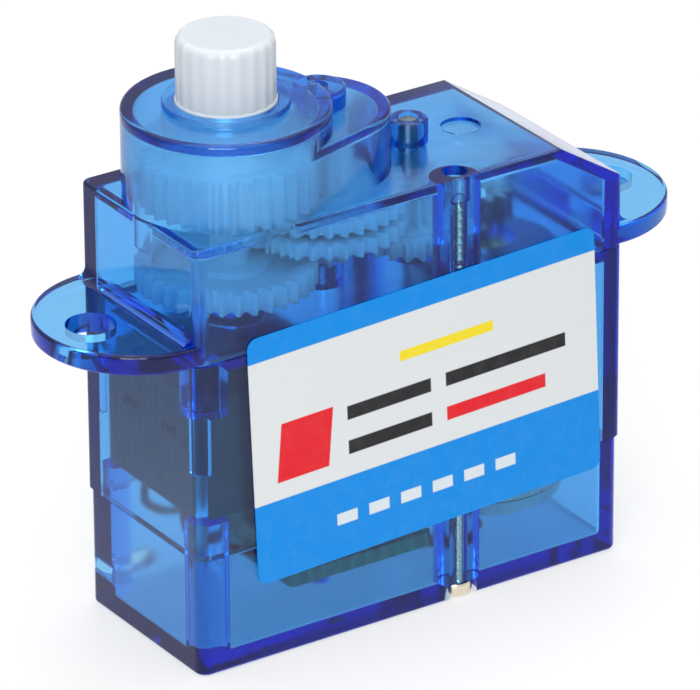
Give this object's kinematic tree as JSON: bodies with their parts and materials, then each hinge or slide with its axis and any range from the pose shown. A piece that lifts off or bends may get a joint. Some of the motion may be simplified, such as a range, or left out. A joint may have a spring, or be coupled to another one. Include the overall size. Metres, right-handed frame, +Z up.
{
  "type": "hobby servo motor",
  "caption": "Sub-micro hobby servo with a translucent case, rounded mounting ears, a splined output shaft, an internal gear train, motor, potentiometer and control board.",
  "frame": {"origin": "bottom centre of the servo, on the outer face of the bottom cover", "axes": "+X along the case from the output shaft end to the motor end, -Y out of the side that carries the label, +Z up along the output shaft"},
  "size_m": [0.0284, 0.0083, 0.0249],
  "materials": {
    "case": "translucent blue moulded polycarbonate, polished",
    "label": "printed vinyl film, white with blue bands",
    "nylon": "moulded natural nylon",
    "steel": "ground steel",
    "motor_steel": "drawn, nickel-plated steel",
    "brass": "turned brass",
    "copper": "copper alloy",
    "pot_plastic": "dark grey moulded plastic",
    "magnet": "sintered ferrite",
    "cap_plastic": "moulded white plastic",
    "phenolic": "brown phenolic laminate",
    "carbon": "carbon film",
    "board": "green solder mask on glass-epoxy",
    "chip": "black moulding compound",
    "ceramic": "fired ceramic",
    "red_wire": "red insulated wire",
    "black_wire": "black insulated wire"
  },
  "bodies": {
    "case": {"top_case": "case", "middle_case": "case", "bottom_cover": "case", "case_screw_near": "steel", "case_screw_far": "steel", "label_sticker": "label", "lobe_axle": "steel", "collar_axle": "steel", "motor_can": "motor_steel", "motor_end_cap": "cap_plastic", "motor_magnet": "magnet", "motor_front_bushing": "brass", "motor_brush_left": "copper", "motor_terminal_left": "copper", "motor_lead_left": "red_wire", "motor_brush_right": "copper", "motor_terminal_right": "copper", "motor_lead_right": "black_wire", "pot_housing": "pot_plastic", "pot_base": "phenolic", "pot_track": "carbon", "pot_terminal_left": "copper", "pot_lead_left": "red_wire", "pot_terminal_right": "copper", "pot_lead_right": "black_wire", "pot_terminal_wiper": "copper", "pot_lead_wiper": "black_wire", "circuit_board": "board", "control_chip": "chip", "driver_transistor_left": "chip", "driver_transistor_right": "chip", "bypass_capacitor": "ceramic", "timing_resistor": "chip"},
    "motor_rotor": {"rotor_shaft": "steel", "rotor_armature": "copper", "rotor_commutator": "copper", "motor_pinion": "steel"},
    "first_idler": {"first_idler_gear": "nylon"},
    "second_idler": {"second_idler_gear": "nylon"},
    "third_idler": {"third_idler_gear": "nylon"},
    "fourth_idler": {"fourth_idler_gear": "nylon"},
    "output": {"output_gear": "nylon", "pot_shaft": "steel", "pot_wiper": "copper"}
  },
  "joints": [
    {"name": "motor_spin", "type": "hinge", "parent": "case", "child": "motor_rotor", "pos_m": [0.00595, 0, 0.016], "axis": [0, 0, 1], "range_deg": [-22649, 22649]},
    {"name": "first_idler_spin", "type": "hinge", "parent": "case", "child": "first_idler", "pos_m": [0.00255, 0, 0.016], "axis": [0, 0, 1], "range_deg": [-9438, 9438]},
    {"name": "second_idler_spin", "type": "hinge", "parent": "case", "child": "second_idler", "pos_m": [-0.00165, 0, 0.016], "axis": [0, 0, 1], "range_deg": [-2950, 2950]},
    {"name": "third_idler_spin", "type": "hinge", "parent": "case", "child": "third_idler", "pos_m": [-0.00585, 0, 0.016], "axis": [0, 0, 1], "range_deg": [-922, 922]},
    {"name": "fourth_idler_spin", "type": "hinge", "parent": "case", "child": "fourth_idler", "pos_m": [-0.00165, 0, 0.016], "axis": [0, 0, 1], "range_deg": [-289, 289]},
    {"name": "output_turn", "type": "hinge", "parent": "case", "child": "output", "pos_m": [-0.00585, 0, 0.016], "axis": [0, 0, 1], "range_deg": [-90, 90]}
  ],
  "couplings": [
    {"joint": "first_idler_spin", "follows": "motor_spin", "ratio": -0.41667},
    {"joint": "second_idler_spin", "follows": "motor_spin", "ratio": 0.13021},
    {"joint": "third_idler_spin", "follows": "motor_spin", "ratio": -0.04069},
    {"joint": "fourth_idler_spin", "follows": "motor_spin", "ratio": 0.012716},
    {"joint": "output_turn", "follows": "motor_spin", "ratio": -0.0039736}
  ]
}
